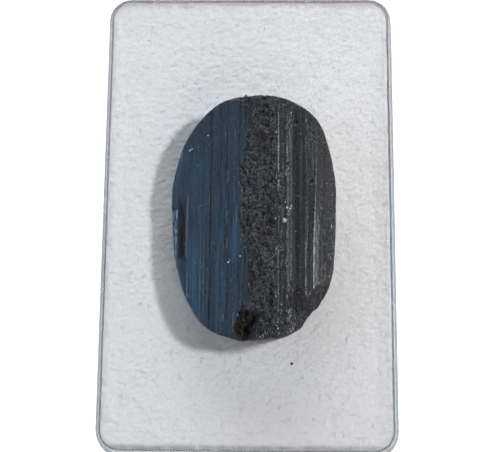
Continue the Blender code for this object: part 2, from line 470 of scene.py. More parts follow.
def skirted_mesh(name, x, y, z, rings, values):
    """A closed mesh: the grid on top, rings of points below its edge, and one flat face under them.

    rings is a list of (points, {attribute: values}) going down, and values gives each attribute
    on the grid. Points that coincide are merged.
    """
    columns, rows = x.shape
    index = np.arange(columns * rows).reshape(columns, rows)
    top = np.stack([index[:-1, :-1], index[1:, :-1], index[1:, 1:], index[:-1, 1:]], axis=-1)
    loop = perimeter_of(columns, rows)
    upper = edge_values(index, loop)
    points, quads = [np.column_stack([x.ravel(), y.ravel(), z.ravel()])], [top.reshape(-1, 4)]
    start = columns * rows
    for ring, _ in rings:
        lower = np.arange(start, start + len(loop))
        quads.append(np.column_stack([lower, np.roll(lower, -1), np.roll(upper, -1), upper]))
        points.append(ring)
        upper, start = lower, start + len(loop)
    faces = [tuple(quad) for quad in np.vstack(quads).tolist()] + [tuple(upper[::-1].tolist())]
    mesh = bpy.data.meshes.new(name)
    mesh.from_pydata(np.vstack(points) * MM, [], faces)
    for key in values:
        data = np.concatenate([values[key].ravel()] + [extra[key] for _, extra in rings])
        mesh.attributes.new(key, "FLOAT", "POINT").data.foreach_set("value", data.astype(np.float32))
    bm = bmesh.new()
    bm.from_mesh(mesh)
    bmesh.ops.remove_doubles(bm, verts=bm.verts, dist=2e-7)
    bmesh.ops.dissolve_degenerate(bm, edges=bm.edges, dist=1e-7)
    bm.to_mesh(mesh)
    bm.free()
    mesh.shade_smooth()
    return mesh


def filled_grid(outline, step_at, end_step, rows):
    """Columns and rows of points that fill an outline: x, y, and the perimeter's indices."""
    columns = column_places(outline, step_at, end_step)
    low, high = outline_span(outline, columns)
    x = np.repeat(columns[:, None], rows, axis=1)
    y = low[:, None] + (high - low)[:, None] * np.linspace(0, 1, rows)
    return x, y, perimeter_of(*x.shape)


# -------------------- the crystal


def profile_height(x, y):
    """Height of the prism's faces over the base, before any wear."""
    knots = np.array([PROFILE_START[0]] + [row[0] for row in PROFILE])
    heights = []
    for side in (1, 2):
        rises = np.diff(knots) * np.tan(np.radians([row[side] for row in PROFILE]))
        heights.append(PROFILE_START[1] + np.concatenate([[0], np.cumsum(rises)]))
    share = ramp(y, *PROFILE_TURN)
    return np.interp(x, knots, heights[0]) * share + np.interp(x, knots, heights[1]) * (1 - share)


def rough_share(x, y):
    """1 on the granular crest, 0 off it. Its left edge wanders."""
    ragged = 0.7 * grain(x * 1.6, y * 1.1, 22, 4)
    edge_y, edge_x = np.transpose(CREST_LEFT)
    left = np.interp(y, edge_y, edge_x) + 0.15 * noise(np.full_like(x, 3), y * 0.6, 21) + ragged
    left += 0.6 * grain(x * 3.4, y * 2.6, 28, 3)
    share = ramp(x, left - 0.2, left + 0.2)
    share *= 1 - ramp(x + ragged * 0.3, CREST_RIGHT - 0.1, CREST_RIGHT + 0.2)
    for centre, half, density in PITTED:
        patch = density * mound(x, y, centre, half) + 1.1 * grain(x * 2.4, y * 1.5, 23, 4)
        share = np.maximum(share, ramp(patch, 0.75, 0.95))
    return share


def wall_drop(x, y, walls, jitter):
    """How far below the surface a chip's walls lie: 0 outside them."""
    drop = np.full(x.shape, np.inf)
    for x0, y0, x1, y1, slope in walls:
        length = math.hypot(x1 - x0, y1 - y0)
        inside = ((x - x0) * (y1 - y0) - (y - y0) * (x1 - x0)) / length
        drop = np.minimum(drop, slope * (inside + jitter))
    return np.maximum(drop, 0)


def relief(x, y, layers):
    """The layers' small flat faces added up."""
    return sum(facets(x, y, *layer) for layer in layers)


def mounds(x, y, table):
    """The mounds of a table of centres and half sizes added up."""
    return sum(mound(x, y, centre, half) for centre, half in table)


def face_relief(x, y, wander):
    """The fine striations and steps of the smooth faces.

    They are livelier on the left face and the right flank, and weaker on the left flank.
    """
    growth = relief(x + wander, y, STRIATIONS) + facets(x, y, *SHORT_STEPS)
    lively = 1.35 - 0.95 * ramp(x, 2.5, 4.5) + 1.3 * ramp(x, 9.2, 9.8)
    left_flank = 1 - ramp(x, -8.2, -8.0)
    return growth * (0.7 + 0.5 * noise(x * 0.6, y * 0.2, 14)) * lively * (1 - 0.8 * left_flank)


def crystal_top(x, y):
    """Height of the crystal's upper surface over its base, and the masks its material reads."""
    wander = 0.06 * noise(x * 0.15, y * 0.1, 5) + 0.02 * noise(x * 0.4, y * 0.35, 6)
    # The ridge is not quite parallel to the ribs.
    ridge_shift = 0.4 * ramp(y, -8, 6) * ramp(x, 6.9, 8.6)
    height = profile_height(x + wander - ridge_shift, y) + 0.04 * noise(x * 0.35, y * 0.11, 15)
    rough = rough_share(x, y)
    smooth = 1 - rough
    height += smooth * face_relief(x, y, wander)
    grains = relief(x, y, GRAINS)
    pitting = ramp(grain(x * 1.9, y * 1.5, 18, 4), 0.1, 0.55)
    lumps = facets(x, y, *LUMPS) - 0.2 * (pitting - 0.25) + 0.05 * grain(x * 0.9, y * 0.9, 19, 3)
    # The granular relief is deepest on the crest. The smooth right faces have a little of it too.
    deep = (0.25 + 0.75 * ramp(x, -1.8, -1.2)) * (1 - 0.65 * ramp(x, 3.8, 4.8))
    height += rough * deep * (grains + lumps) + 0.1 * ramp(x, 3.5, 4.5) * smooth * grains
    # On the left face the granular patches keep the face's own colour.
    granular = rough * ramp(x, -2.0, -1.5)
    stain_and_pit_shade = ramp(mounds(x, y, STAINS) + 0.7 * grain(x * 1.1, y * 0.9, 24, 4) * rough, 0.25, 0.7)
    # In the crest's pits this mask is painted shade, darker where the pitting is strongest.
    stain_and_pit_shade = np.maximum(stain_and_pit_shade, granular * pitting * deep)
    chip = np.zeros_like(height)
    jitter = 0.22 * grain(x * 1.2, y * 1.2, 31, 4)
    broken = relief(x, y, BREAKS)
    for walls, depth, rugged, finish in CHIPS:
        drop = np.minimum(wall_drop(x, y, walls, jitter), depth)
        share = ramp(drop, 0.02, 0.2)
        height += share * broken * rugged - drop
        granular = granular * (1 - share) + share * (finish == "granular")
        stain_and_pit_shade = np.maximum(stain_and_pit_shade, 0.5 * share * (finish == "granular"))
        chip = np.maximum(chip, share * (finish == "dull"))
    for centre, half, depth in PITS:
        height -= depth * mound(x + 0.3 * jitter, y + 0.3 * jitter, centre, half) ** 0.6
        chip = np.maximum(chip, mound(x, y, centre, half))
    glossy_drop, brown_drop = wall_drop(x, y, GLOSSY_FACET, 0), wall_drop(x, y, BROWN_FACET, 0)
    gloss = ramp(glossy_drop, 0.01, 0.04)
    height += 0.6 * gloss * facets(x, y, *GLOSSY_STEPS) - glossy_drop - brown_drop
    streaks = np.max([mound(x, y, centre, half) for centre, half in PALE], axis=0)
    return height, {
        "rough": granular,
        "chip": chip,
        "stain_and_pit_shade": stain_and_pit_shade,
        "brown": ramp(brown_drop, 0.0, 0.09),
        "gloss": gloss,
        "pale": ramp(streaks + 0.7 * grain(x * 3, y * 2.2, 25, 3), 0.45, 1.1) * (streaks > 0),
        "blue_glare_paint": mounds(x, y, BLUE_GLARE_PATCHES),
    }


def crystal_outline():
    """The CAD outline with the small unevenness of a sawn and worn edge."""
    loop = resampled(outline_of("crystal", FOOT_CHAMFER), OUTLINE_STEP)
    x, y = loop.T
    offset = 0.05 * grain(x * 1.3, y * 1.3, 45, 3) + 0.05 * noise(x * 0.35, y * 0.35, 46) - 0.03
    # The broken lower right corner.
    offset += 0.3 * mound(x, y, (6.4, -16.2), (3.4, 2.6)) ** 0.7
    offset += 0.25 * mound(x, y, (10.9, -10.0), (2.0, 3.4))
    offset -= 0.36 * mound(x, y, (8.1, -14.9), (1.7, 1.5))
    return loop + outward_normals(loop) * offset[:, None]


def rib_step(at):
    """Distance between columns at that x."""
    fine = ramp(at, RIB_SPAN[0] - 0.5, RIB_SPAN[0]) * (1 - ramp(at, RIB_SPAN[1], RIB_SPAN[1] + 0.5))
    return COLUMN_STEP + (RIB_STEP - COLUMN_STEP) * fine


def build_crystal():
    outline = crystal_outline()
    x, y, loop = filled_grid(outline, rib_step, END_STEP, ROWS)
    edge = edge_points(x, y, loop)
    normal = outward_normals(edge, 4)
    # The grid stops short of the outline, which leaves room for the worn bevel round the top.
    middle = (outline.min(axis=0) + outline.max(axis=0)) / 2
    shrink = 1 - BEVEL / np.ptp(outline, axis=0).min() * 2
    x, y = middle[0] + (x - middle[0]) * shrink, middle[1] + (y - middle[1]) * shrink
    height, masks = crystal_top(x, y)
    masks["wall"] = np.zeros_like(height)
    rim = edge_values(height, loop)
    rim_xy = edge_points(x, y, loop)
    rim_masks = {key: edge_values(masks[key], loop) for key in masks}
    blank = np.zeros(len(loop))
    on_wall = {key: blank + (key == "wall") for key in masks}
    rings = []
    for out, drop in BEVEL_RINGS:
        ring = np.column_stack([rim_xy + (edge - rim_xy) * out, BASE_Z + rim - drop])
        rings.append((ring, {**rim_masks, "wall": blank + out * BEVEL_BROKEN}))
    wall_height = rim - BEVEL_RINGS[-1][1] - FOOT_CHAMFER
    lean = WALL_LEAN[0] + (WALL_LEAN[1] - WALL_LEAN[0]) * ramp(-normal[:, 1], -0.6, 0.9)
    around = way_round(edge)
    for down in np.arange(1, WALL_ROWS + 1) / WALL_ROWS:
        z = BASE_Z + FOOT_CHAMFER + wall_height * (1 - down)
        push = 0.05 * grain(around * 0.9, z * 1.1, 41, 3) * min(1, 3 * down) - lean * down
        rings.append((np.column_stack([edge + normal * push[:, None], z]), on_wall))
    foot = np.column_stack([edge - normal * (lean + FOOT_CHAMFER)[:, None], blank + BASE_Z])
    rings.append((foot, on_wall))
    mesh = skirted_mesh("crystal_surface", x, y, BASE_Z + height, rings, masks)
    piece = new_object("crystal_surface", mesh)
    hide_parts("crystal")
    return piece


# -------------------- the foam pad


def rounded_outline(low, high, corner, step):
    """A rectangle with round corners, anticlockwise."""
    (left, lower), (right, upper) = low + corner, high - corner
    points = []
    for quarter, centre in enumerate([(right, upper), (left, upper), (left, lower), (right, lower)]):
        for part in np.linspace(0, math.pi / 2, 24):
            angle = quarter * math.pi / 2 + part
            turned = (math.cos(angle), math.sin(angle))
            points.append((centre[0] + corner * turned[0], centre[1] + corner * turned[1]))
    return resampled(np.array(points), step)


def foam_outline():
    """The foam's outline, in the middle of the tray and a little pressed in on its right side."""
    low, high = (np.array(corner[:2]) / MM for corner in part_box("pad"))
    middle_x = (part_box("tray")[0].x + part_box("tray")[1].x) / 2 / MM
    half = (high[0] - low[0]) / 2 + FOAM_SPREAD
    low, high = low - FOAM_SPREAD, high + FOAM_SPREAD
    low[0], high[0] = middle_x - half, middle_x + half
    loop = rounded_outline(low, high, FOAM_CORNER, FOAM_STEP)
    x, y = loop.T
    offset = 0.05 * grain(x * 1.1 + 7, y * 1.1, 61, 4) - 0.03
    offset -= 0.26 * (x > 15) * ramp(y, -16, -8) * (1 - ramp(y, 8, 18))
    return loop + outward_normals(loop) * offset[:, None]


def foam_top(x, y):
    """Height of the foam's napped surface."""
    nap = 0.05 * grain(x * 1.7, y * 2.6, 51, 2) + 0.03 * grain(x * 0.9, y * 0.8, 52, 3)
    turned = (x * 0.9 + y * 0.3, y * 0.9 - x * 0.3)
    nap += 0.03 * noise(turned[0] * 1.1, turned[1] * 3.0, 55)
    nap -= 0.06 * ramp(grain(x * 1.9, y * 2.4, 53, 2), 0.35, 0.7)
    broad = 0.05 * noise(x * 0.16, y * 0.16, 56)
    return PAD_TOP_Z + FOAM_RISE + nap + broad


def foam_step(at):
    """Distance between columns at that x: the same everywhere."""
    return np.full_like(at, FOAM_STEP)


def under_crystal(x, y, margin=0):
    """Whether points are under the crystal, or nearer to it than the margin."""
    outline = outline_of("crystal", FOOT_CHAMFER)
    low, high = outline_span(outline, x)
    inside = (x > outline[:, 0].min() - margin) & (x < outline[:, 0].max() + margin)
    return inside & (y > low - margin) & (y < high + margin)


def build_pad():
    outline = foam_outline()
    rows = round(np.ptp(outline[:, 1]) / FOAM_STEP)
    x, y, loop = filled_grid(outline, foam_step, FOAM_END_STEP, rows)
    low, high = outline.min(axis=0), outline.max(axis=0)
    from_sides = np.minimum(x - low[0], high[0] - x)
    from_near, from_far = y - low[1], high[1] - y
    inset = np.min([from_sides, from_near, from_far], axis=0)
    wall_inset = np.minimum(from_sides, from_far / 2.5)
    uneven = 1 + 0.7 * noise(x * 0.9, y * 0.9, 57)
    z = foam_top(x, y)
    z += FOAM_EDGE_RISE * (1 - ramp(wall_inset, 0, 2.4)) * ramp(from_near, 0, 3)
    z -= FOAM_EDGE_DROP * (1 - ramp(inset, 0, 0.5)) ** 2 * uneven
    z -= FOAM_NEAR_DROP * (1 - ramp(from_near, 0, 1.1)) ** 2 * uneven
    z = np.where(under_crystal(x, y), np.minimum(z, BASE_Z - FOAM_GAP), z)
    edge = edge_points(x, y, loop)
    normal, around = outward_normals(edge, 3), way_round(edge)
    rim, foot_z = edge_values(z, loop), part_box("pad")[0].z / MM
    rings = []
    for down in np.arange(1, FOAM_ROWS + 1) / FOAM_ROWS:
        height = rim + (foot_z - rim) * down
        tuck = FOAM_TUCK * (1 - math.cos(min(1, 3 * down) * math.pi / 2))
        push = np.minimum(0.03 * grain(around * 1.2, height * 1.2, 58, 2) - tuck, 0)
        push *= 0.4 + down * 0.6
        rings.append((np.column_stack([edge + normal * push[:, None], height]), {}))
    mesh = skirted_mesh("foam_surface", x, y, z, rings, {})
    piece = new_object("foam_surface", mesh)
    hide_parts("pad")
    return piece


# -------------------- loose bits and lint


class Cast:
    """Rays down on a piece, for things that lie on it."""

    def __init__(self, piece):
        self.tree = BVHTree.FromObject(piece, bpy.context.evaluated_depsgraph_get())

    def height(self, x, y):
        """Height of the piece there, or None past its edge."""
        hit = self.tree.ray_cast(Vector((x * MM, y * MM, 1)), Vector((0, 0, -1)))[0]
        return hit and hit.z / MM


def add_shape(points, faces, shape):
    """Adds a shape, its points and faces, to the lists of a piece."""
    more, corners = shape
    faces += [tuple(corner + len(points) for corner in face) for face in corners]
    points += [tuple(point) for point in more]


def closed_piece(name, points, faces, material):
    mesh = bpy.data.meshes.new(name)
    mesh.from_pydata(np.asarray(points) * MM, [], faces)
    piece = new_object(name, mesh)
    mesh.materials.append(material)
    return piece


def crumb(rng, centre, size):
    """An angular little lump: points and faces of a jagged octahedron."""
    axes = [(1, 0, 0), (0, 1, 0), (-1, 0, 0), (0, -1, 0), (0, 0, 1), (0, 0, -1)]
    turn = rng.uniform(0, math.pi)
    cosine, sine = math.cos(turn), math.sin(turn)
    points = []
    for axis in axes:
        a, b, c = axis * np.array([1, 1, 0.7]) + rng.uniform(-0.28, 0.28, 3)
        turned = np.array([a * cosine - b * sine, a * sine + b * cosine, c])
        points.append(centre + size * turned)
    faces = [(0, 1, 4), (1, 2, 4), (2, 3, 4), (3, 0, 4), (1, 0, 5), (2, 1, 5), (3, 2, 5), (0, 3, 5)]
    return points, faces


def build_crumbs(name, ground, places, material, seed):
    """Crumbs that lie on the ground: each place is x, y and size."""
    rng = np.random.default_rng(seed)
    points, faces = [], []
    for x, y, size in places:
        add_shape(points, faces, crumb(rng, (x, y, ground.height(x, y) + size * 0.35), size))
    return closed_piece(name, points, faces, material)


def tube(path, radius, sides=5):
    """Points and faces of a closed tube along a path that is mostly level."""
    along = np.gradient(path, axis=0)
    side = np.column_stack([-along[:, 1], along[:, 0], np.zeros(len(path))])
    side /= np.linalg.norm(side, axis=1, keepdims=True)
    up = np.cross(along, side)
    up /= np.linalg.norm(up, axis=1, keepdims=True)
    angles = np.arange(sides) * 2 * math.pi / sides
    taper = np.linspace(0.15, 2, len(path)).clip(0, 1)
    thick = radius * np.sqrt(taper * taper[::-1])
    ring = np.cos(angles)[None, :, None] * side[:, None] + np.sin(angles)[None, :, None] * up[:, None]
    points = (path[:, None] + ring * thick[:, None, None]).reshape(-1, 3)
    faces = []
    for row in range(len(path) - 1):
        for k in range(sides):
            a, b = row * sides + k, row * sides + (k + 1) % sides
            faces.append((a, a + sides, b + sides, b))
    faces.append(tuple(range(sides)))
    last = (len(path) - 1) * sides
    faces.append(tuple(last + k for k in reversed(range(sides))))
    return points, faces


def fibre_places():
    """Where the foam's loose fibres lie: all over its top, and more of them along its edges."""
    rng = np.random.default_rng(81)
    outline = foam_outline()
    middle, half = (outline.min(axis=0) + outline.max(axis=0)) / 2, np.ptp(outline, axis=0) / 2
    places = rng.uniform(-half, half, (FIBRES, 2)) * 0.985
    moved = np.arange(FIBRES) % 4 == 0
    side, sign = rng.integers(0, 2, FIBRES), rng.choice([-1, 1], FIBRES)
    near_edge = sign * (half[side] - rng.uniform(*FIBRE_EDGE_BAND, FIBRES))
    places[moved, side[moved]] = near_edge[moved]
    places += middle
    places = places[~under_crystal(*places.T, 0.8)]
    return places, middle - half, middle + half


def build_fibres(ground, material):
    """The foam's loose fibres: thin bent threads."""
    rng = np.random.default_rng(82)
    points, faces = [], []
    places, low, high = fibre_places()
    low, high = low + FIBRE_CLEARANCE, high - FIBRE_CLEARANCE
    steps = np.linspace(-0.5, 0.5, 5)
    for place in places:
        heading, bend = rng.uniform(0, 2 * math.pi), rng.normal(0, 1.3)
        length, lift = rng.uniform(*FIBRE_LENGTH), rng.uniform(*FIBRE_LIFT)
        radius = rng.uniform(*FIBRE_RADIUS)
        level = ground.height(*place)
        if level is None:
            continue
        turned = heading + bend * steps
        path = place + length * np.column_stack([np.cos(turned) * steps, np.sin(turned) * steps])
        height = level + radius + lift * (1 - 4 * steps**2) - FIBRE_SINK
        path = np.column_stack([path.clip(low, high), height])
        add_shape(points, faces, tube(path, radius, 3))
    return closed_piece("foam_fibres", points, faces, material)


def build_lint(name, ground, strands, material):
    """Threads that lie on the ground: each strand is a radius and the points it passes, with lifts."""
    points, faces = [], []
    for radius, stops in strands:
        stops = np.array(stops, float)
        at = np.linspace(0, len(stops) - 1, 6 * len(stops))
        path = np.column_stack([np.interp(at, range(len(stops)), lane) for lane in stops.T])
        for _ in range(3):
            path[1:-1] = 0.25 * path[:-2] + 0.5 * path[1:-1] + 0.25 * path[2:]
        path[:, 2] += [ground.height(x, y) + radius for x, y, _ in path]
        add_shape(points, faces, tube(path, radius))
    return closed_piece(name, points, faces, material)


# -------------------- materials


TOURMALINE_IOR = 1.63
POLYSTYRENE_IOR = 1.59


class Nodes:
    """A shorthand for a material's node tree: each call adds nodes and returns an output."""

    def __init__(self, name):
        self.material = bpy.data.materials.new(name)
        self.material.use_nodes = True
        self.tree = self.material.node_tree
        self.shader = self.tree.nodes["Principled BSDF"]

    def put(self, socket, value):
        if isinstance(value, bpy.types.NodeSocket):
            self.tree.links.new(value, socket)
        else:
            socket.default_value = value

    def add(self, kind, output=0, inputs=(), **settings):
        node = self.tree.nodes.new(kind)
        for key, value in settings.items():
            setattr(node, key, value)
        for key, value in dict(inputs).items():
            self.put(node.inputs[key], value)
        return node.outputs[output]

    def place(self, stretch=(1, 1, 1)):
        """Object coordinates in millimetres, stretched."""
        coords = self.add("ShaderNodeTexCoord", 3)
        scale = [factor / MM for factor in stretch]
        return self.add("ShaderNodeMapping", inputs={"Vector": coords, "Scale": scale})

    def axes(self):
        """The place's x, y and z in millimetres."""
        return self.add("ShaderNodeSeparateXYZ", inputs={"Vector": self.place()}).node.outputs

    def noise(self, stretch, scale, detail=2.0, roughness=0.5):
        inputs = {"Vector": self.place(stretch), "Scale": scale, "Detail": detail, "Roughness": roughness}
        return self.add("ShaderNodeTexNoise", inputs=inputs)

    def specks(self, stretch, scale, size, share):
        """1 on small spots: scale is cells per millimetre, share the part of them with a spot."""
        cells = self.add("ShaderNodeTexVoronoi", inputs={"Vector": self.place(stretch), "Scale": scale})
        chance = self.add("ShaderNodeSeparateColor", inputs={"Color": cells.node.outputs["Color"]})
        near = self.range(cells, size, size * 0.5)
        return self.times(near, self.math("LESS_THAN", chance, share))

    def cells(self, scale):
        """One random value for each small cell."""
        cells = self.add("ShaderNodeTexVoronoi", 1, {"Vector": self.place(), "Scale": scale})
        return self.add("ShaderNodeSeparateColor", inputs={"Color": cells})

    def attribute(self, name):
        return self.add("ShaderNodeAttribute", 2, attribute_name=name)

    def math(self, operation, a, b):
        return self.add("ShaderNodeMath", operation=operation, inputs={0: a, 1: b})

    def times(self, a, b):
        return self.math("MULTIPLY", a, b)

    def plus(self, a, b):
        return self.math("ADD", a, b)

    def range(self, value, low, high, to_low=0.0, to_high=1.0):
        inputs = {0: value, 1: low, 2: high, 3: to_low, 4: to_high}
        return self.add("ShaderNodeMapRange", inputs=inputs)

    def mix(self, share, a, b):
        """Mixes two colours."""
        node = self.tree.nodes.new("ShaderNodeMix")
        node.data_type = "RGBA"
        for socket, value in ((node.inputs[0], share), (node.inputs[6], a), (node.inputs[7], b)):
            self.put(socket, value if isinstance(value, (bpy.types.NodeSocket, float)) else (*value, 1.0))
        return node.outputs[2]

    def bump(self, height, strength, distance, under=None):
        inputs = {"Height": height, "Strength": strength, "Distance": distance * MM}
        if under is not None:
            inputs["Normal"] = under
        return self.add("ShaderNodeBump", inputs=inputs)

    def finish(self, **inputs):
        for key, value in inputs.items():
            self.put(self.shader.inputs[key.replace("_", " ")], value)
        return self.material


def tourmaline_material():
    nodes = Nodes("tourmaline_striated")
    stain_and_pit_shade, brown, pale = nodes.attribute("stain_and_pit_shade"), nodes.attribute("brown"), nodes.attribute("pale")
    x = nodes.axes()[0]
    band = nodes.noise((1, 0.03, 1), 0.9, 2.0, 0.5)
    streak = nodes.noise((1, 0.05, 1), 3.2, 4.0, 0.6)
    speck = nodes.noise((1, 0.75, 1), 3.0, 5.0, 0.7)
    patch = nodes.noise((1, 0.35, 1), 0.4, 3.0, 0.55)
    mottle = nodes.noise((1, 0.7, 1), 4.2, 3.0, 0.7)
    # The striated black, with the blue window's reflection painted into it in patches on the left face.
    painted_window_blue = nodes.times(nodes.range(x, 1.0, -1.5), nodes.range(patch, 0.38, 0.58, 0.35, 1.0))
    deep = nodes.mix(painted_window_blue, (0.0065, 0.007, 0.0095), (0.001, 0.006, 0.012))
    light = nodes.mix(painted_window_blue, (0.013, 0.0145, 0.0205), (0.012, 0.0355, 0.064))
    tone = nodes.plus(nodes.times(streak, 0.6), nodes.times(band, 0.4))
    colour = nodes.mix(nodes.range(tone, 0.43, 0.57), deep, light)
    colour = nodes.mix(nodes.range(speck, 0.5, 0.36, 0.0, 0.85), colour, (0.004, 0.005, 0.006))
    colour = nodes.mix(nodes.range(speck, 0.58, 0.74, 0.0, 0.6), colour, (0.055, 0.062, 0.07))
    # The right faces are mottled, and the right flank is darker.
    worn, flank = nodes.range(x, 3.0, 4.5), nodes.range(x, 9.3, 9.8)
    lighter = nodes.times(worn, nodes.range(mottle, 0.52, 0.64, 0.0, 0.5))
    darker = nodes.times(worn, nodes.range(mottle, 0.48, 0.38, 0.0, 0.8))
    colour = nodes.mix(lighter, colour, (0.032, 0.036, 0.047))
    colour = nodes.mix(darker, colour, (0.003, 0.0035, 0.0045))
    colour = nodes.mix(nodes.times(flank, 0.45), colour, (0.004, 0.0045, 0.007))
    # What the mesh's masks place, and pale specks that are partly dust and partly painted glints.
    # The blue window's reflection, painted where the mesh's mask places it.
    blue_glare_paint = nodes.times(nodes.attribute("blue_glare_paint"), 0.6)
    colour = nodes.mix(blue_glare_paint, colour, (0.014, 0.05, 0.105))
    # Real stains, and painted shade in the crest's pits.
    colour = nodes.mix(stain_and_pit_shade, colour, (0.004, 0.0035, 0.003))
    colour = nodes.mix(nodes.times(brown, 0.95), colour, (0.006, 0.004, 0.0037))
    colour = nodes.mix(pale, colour, (0.09, 0.085, 0.078))
    # Pale specks: partly dust, partly painted glints.
    colour = nodes.mix(nodes.specks((1, 0.7, 1), 1.3, 0.11, 0.4), colour, (0.15, 0.16, 0.17))
    gloss = nodes.range(streak, 0.3, 0.7, 0.22, 0.36)
    gloss = nodes.plus(gloss, nodes.times(worn, nodes.range(mottle, 0.4, 0.6, 0.16, -0.05)))
    gloss = nodes.plus(gloss, nodes.times(stain_and_pit_shade, 0.15))
    fine = nodes.bump(nodes.noise((1, 0.05, 1), 7.0, 3.0), 0.5, 0.02)
    normal = nodes.bump(nodes.noise((1, 0.8, 1), 5.0, 4.0, 0.65), 0.6, 0.042, fine)
    return nodes.finish(Base_Color=colour, Roughness=gloss, Normal=normal, IOR=TOURMALINE_IOR)


def glossy_material():
    nodes = Nodes("tourmaline_glossy")
    streak = nodes.noise((1, 0.04, 1), 3.0, 3.0, 0.6)
    colour = nodes.mix(nodes.range(streak, 0.4, 0.6), (0.004, 0.008, 0.014), (0.01, 0.02, 0.036))
    normal = nodes.bump(streak, 0.3, 0.02)
    return nodes.finish(Base_Color=colour, Roughness=0.1, Normal=normal, IOR=TOURMALINE_IOR)


def granular_material():
    nodes = Nodes("tourmaline_granular")
    patch = nodes.noise((1, 0.8, 1), 0.6, 3.0, 0.6)
    patch = nodes.plus(patch, nodes.range(nodes.axes()[0], -0.8, 0.8, -0.25, 0.0))
    cloud = nodes.noise((1, 1.15, 1), 2.8, 5.0, 0.75)
    crumb = nodes.plus(nodes.times(cloud, 0.72), nodes.times(nodes.cells(5.5), 0.28))
    shade = nodes.noise((1, 0.7, 1), 1.0, 3.0, 0.6)
    brown = nodes.range(patch, 0.46, 0.6)
    dark = nodes.mix(brown, (0.002, 0.0035, 0.005), (0.004, 0.0032, 0.003))
    light = nodes.mix(brown, (0.054, 0.066, 0.083), (0.062, 0.061, 0.072))
    # The grains are painted lighter where the bump rises and darker in its hollows: painted light and
    # shade over their own brown and grey.
    colour = nodes.mix(nodes.range(crumb, 0.42, 0.62), dark, light)
    colour = nodes.mix(nodes.range(shade, 0.5, 0.36, 0.0, 0.75), colour, (0.007, 0.0075, 0.008))
    # Real stains, and painted shade in the crest's pits.
    stain_and_pit_shade = nodes.times(nodes.attribute("stain_and_pit_shade"), 0.8)
    colour = nodes.mix(stain_and_pit_shade, colour, (0.006, 0.0046, 0.0042))
    # Painted glints: small bright specks on the grains.
    colour = nodes.mix(nodes.specks((1, 1, 1), 3.0, 0.24, 0.08), colour, (0.3, 0.32, 0.35))
    gloss = nodes.range(crumb, 0.35, 0.65, 0.5, 0.34)
    coarse = nodes.bump(crumb, 0.7, 0.14)
    normal = nodes.bump(nodes.noise((1, 1, 1), 7.0, 4.0, 0.65), 0.4, 0.03, coarse)
    look = {"IOR": TOURMALINE_IOR, "Specular_IOR_Level": 0.2}
    return nodes.finish(Base_Color=colour, Roughness=gloss, Normal=normal, **look)


def broken_material():
    nodes = Nodes("tourmaline_broken")
    tone = nodes.noise((1, 1, 1), 1.3, 4.0, 0.65)
    colour = nodes.mix(nodes.range(tone, 0.35, 0.7), (0.004, 0.0038, 0.0036), (0.014, 0.0122, 0.011))
    colour = nodes.mix(nodes.specks((1, 1, 1), 1.8, 0.14, 0.5), colour, (0.12, 0.11, 0.1))
    gloss = nodes.range(tone, 0.3, 0.7, 0.42, 0.6)
    coarse = nodes.bump(nodes.noise((1, 1, 1), 1.6, 4.0, 0.6), 0.5, 0.12)
    normal = nodes.bump(nodes.noise((1, 1, 1), 8.0, 3.0), 0.4, 0.03, coarse)
    look = {"IOR": TOURMALINE_IOR, "Specular_IOR_Level": 0.3}
    return nodes.finish(Base_Color=colour, Roughness=gloss, Normal=normal, **look)


def foam_material():
    """White foam with painted cool window light on its left and a warm, darker painted shadow at its near
    end.
    """
    nodes = Nodes("foam_white")
    blotch = nodes.noise((1, 1, 1), 0.35, 3.0)
    tone = nodes.noise((1, 1, 1), 2.8, 3.0, 0.65)
    x, y = nodes.axes()[:2]
    colour = nodes.mix(nodes.range(tone, 0.4, 0.6), (0.64, 0.634, 0.637), (0.735, 0.727, 0.731))
    # Painted cool window light on the left side.
    colour = nodes.mix(nodes.range(x, 6.0, -14.0, 0.0, 0.5), colour, (0.64, 0.665, 0.695))
    # A painted soft shadow, warm and darker, at the near end right of the middle.
    painted_near_shadow = nodes.times(nodes.range(x, -10.0, 2.0), nodes.range(y, -19.0, -27.0))
    colour = nodes.mix(nodes.times(painted_near_shadow, 0.7), colour, (0.67, 0.638, 0.635))
    colour = nodes.mix(nodes.range(blotch, 0.45, 0.7, 0.0, 0.3), colour, (0.655, 0.66, 0.683))
    colour = nodes.mix(nodes.specks((1, 1, 1), 2.2, 0.16, 0.35), colour, (0.5, 0.5, 0.51))
    normal = nodes.bump(nodes.noise((1, 1, 1), 2.2, 3.0, 0.65), 0.7, 0.075)
    look = {"Roughness": 0.95, "Specular_IOR_Level": 0.2, "Sheen_Weight": 0.15}
    return nodes.finish(Base_Color=colour, Normal=normal, **look)


def plain_material(name, low, high, gloss):
    """Two tones of one colour, in small patches."""
    nodes = Nodes(name)
    tone = nodes.noise((1, 1, 1), 3.0, 3.0)
    colour = nodes.mix(nodes.range(tone, 0.4, 0.6), low, high)
    return nodes.finish(Base_Color=colour, Roughness=gloss)


